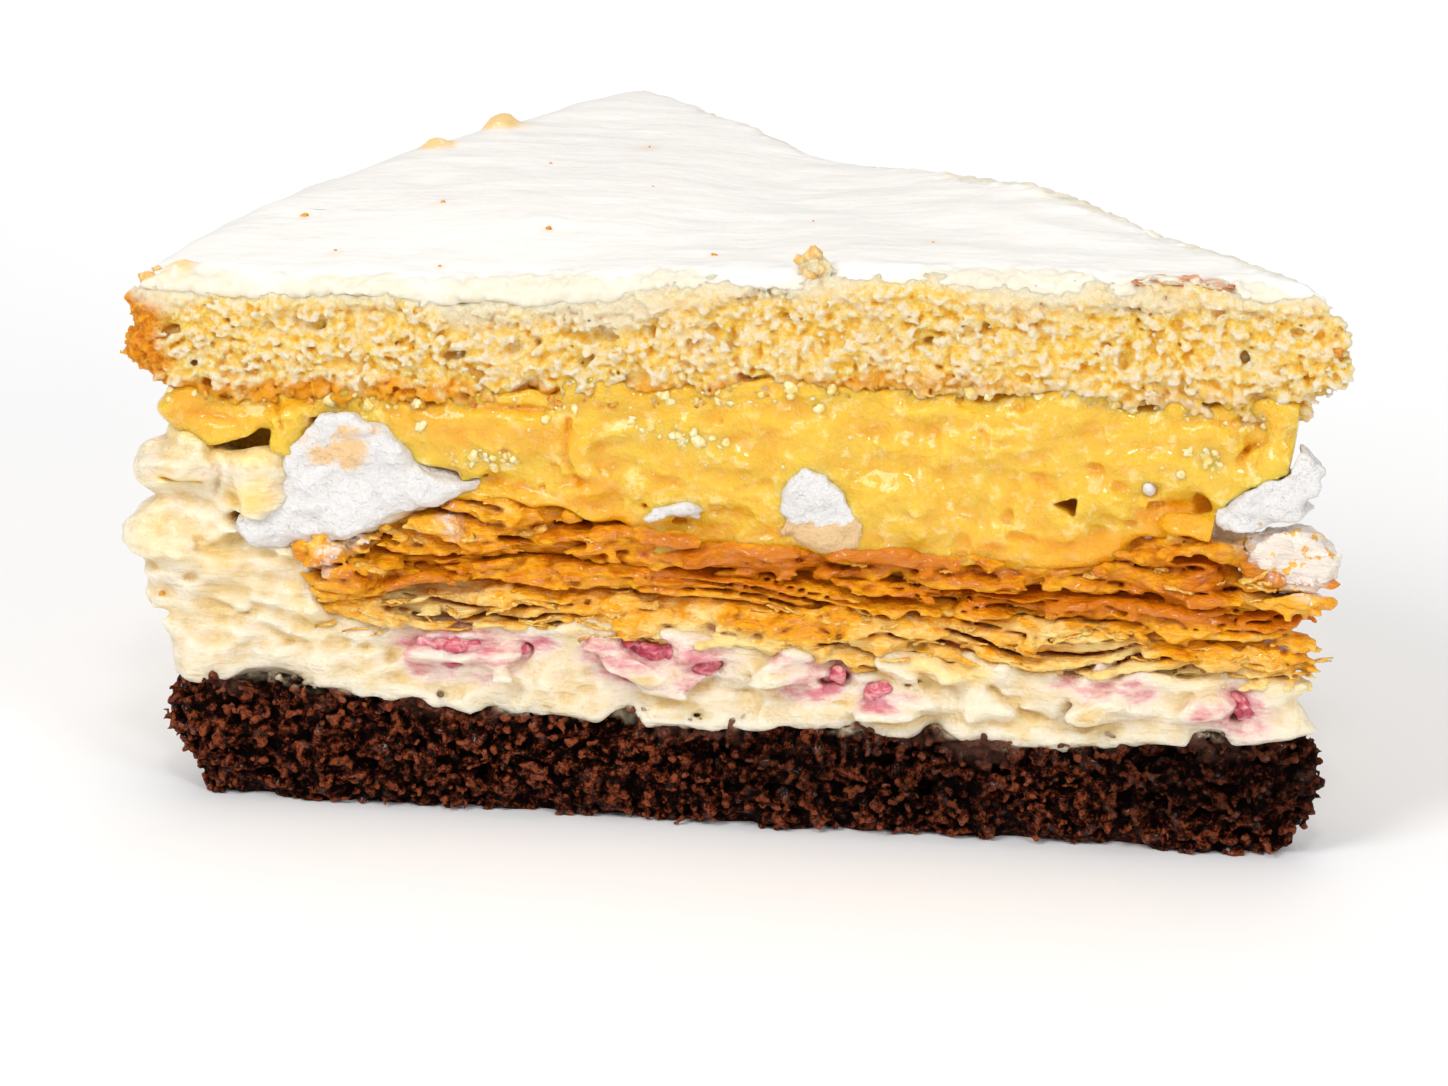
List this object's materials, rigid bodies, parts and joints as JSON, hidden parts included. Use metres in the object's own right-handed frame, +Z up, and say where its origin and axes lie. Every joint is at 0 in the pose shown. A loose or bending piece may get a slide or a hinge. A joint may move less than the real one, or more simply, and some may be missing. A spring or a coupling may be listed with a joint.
{
  "type": "layer cake slice",
  "caption": "Cut wedge of a layered cream cake: chocolate sponge, cream with berries, puff pastry, custard with meringue, vanilla sponge and a thin white glaze.",
  "frame": {"origin": "centre of the bounding box, on the plane that the slice stands on", "axes": "+X along the front cut from the rim to the tip, +Y back from that cut, +Z up"},
  "size_m": [0.1272, 0.0868, 0.0618],
  "materials": {
    "chocolate_sponge": "open dark crumb, matt with moist glints",
    "cream": "ivory whipped cream, satin",
    "pastry": "caramel-brown to pale gold flaky leaves, glossy where soaked",
    "custard": "set yellow custard, glossy",
    "meringue": "white foam, matt",
    "berry": "pink to magenta fruit flesh, moist",
    "vanilla_sponge": "pale yellow open crumb, browned at the rim",
    "glaze": "thin white glaze, satin"
  },
  "bodies": {
    "root": {"chocolate_sponge": "chocolate_sponge", "cream": "cream", "pastry_lower": "pastry", "pastry_middle": "pastry", "pastry_upper": "pastry", "custard": "custard", "custard_drop": "custard", "vanilla_sponge": "vanilla_sponge", "glaze": "glaze", "sugar_crust": "meringue", "meringue_left": "meringue", "meringue_middle": "meringue", "meringue_sliver": "meringue", "meringue_bead": "meringue", "meringue_right": "meringue", "meringue_back_1": "meringue", "meringue_back_2": "meringue", "berry_1": "berry", "berry_2": "berry", "berry_3": "berry", "berry_4": "berry", "berry_5": "berry", "berry_6": "berry", "berry_7": "berry", "berry_8": "berry", "berry_9": "berry"}
  },
  "joints": []
}
